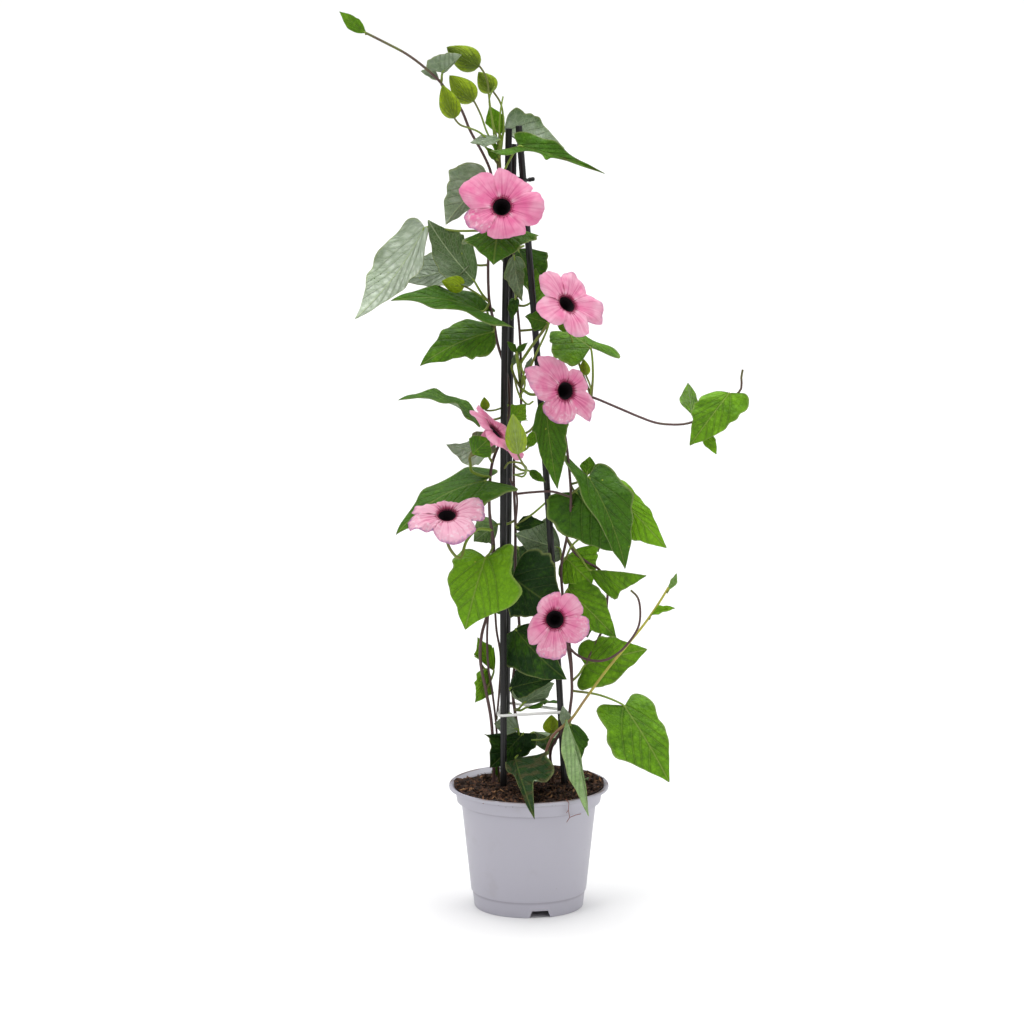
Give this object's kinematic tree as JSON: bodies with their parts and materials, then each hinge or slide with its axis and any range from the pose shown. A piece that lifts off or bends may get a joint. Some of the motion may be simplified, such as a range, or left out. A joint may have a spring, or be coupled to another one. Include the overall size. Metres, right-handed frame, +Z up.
{
  "type": "potted climbing plant",
  "caption": "Black eyed susan vine with pink, dark-throated blooms, tied to a tripod of black stakes in a pale nursery pot of soil.",
  "frame": {"origin": "middle of the pot's base, at the surface that it stands on", "axes": "+Z up, from the pot's base to the stakes' tops; -Y faces the front, where most of the blooms look; +X to the right as seen from the front"},
  "size_m": [0.2957, 0.1345, 0.675],
  "materials": {
    "pot": "satin moulded polypropylene, pale lavender white",
    "soil": "matt peat compost",
    "stake": "satin black plastic, ribbed lengthwise",
    "black_tie": "satin black plastic-coated wire",
    "white_tie": "satin white plastic",
    "foliage": "living leaf and stem, soft satin",
    "petal": "living petal, soft and velvety",
    "throat": "living petal tissue, nearly black purple"
  },
  "bodies": {
    "root": {"pot": "pot", "soil": "soil", "stake_left": "stake", "stake_right": "stake", "stake_rear": "stake", "top_tie": "black_tie", "lower_tie": "white_tie", "vine_left": "foliage", "vine_centre": "foliage", "vine_right": "foliage", "vine_shoot": "foliage", "bloom_1_petals": "petal", "bloom_1_throat": "throat", "bloom_2_petals": "petal", "bloom_2_throat": "throat", "bloom_3_petals": "petal", "bloom_3_throat": "throat", "bloom_4_petals": "petal", "bloom_4_throat": "throat", "bloom_5_petals": "petal", "bloom_5_throat": "throat", "bloom_6_petals": "petal", "bloom_6_throat": "throat"}
  },
  "joints": []
}
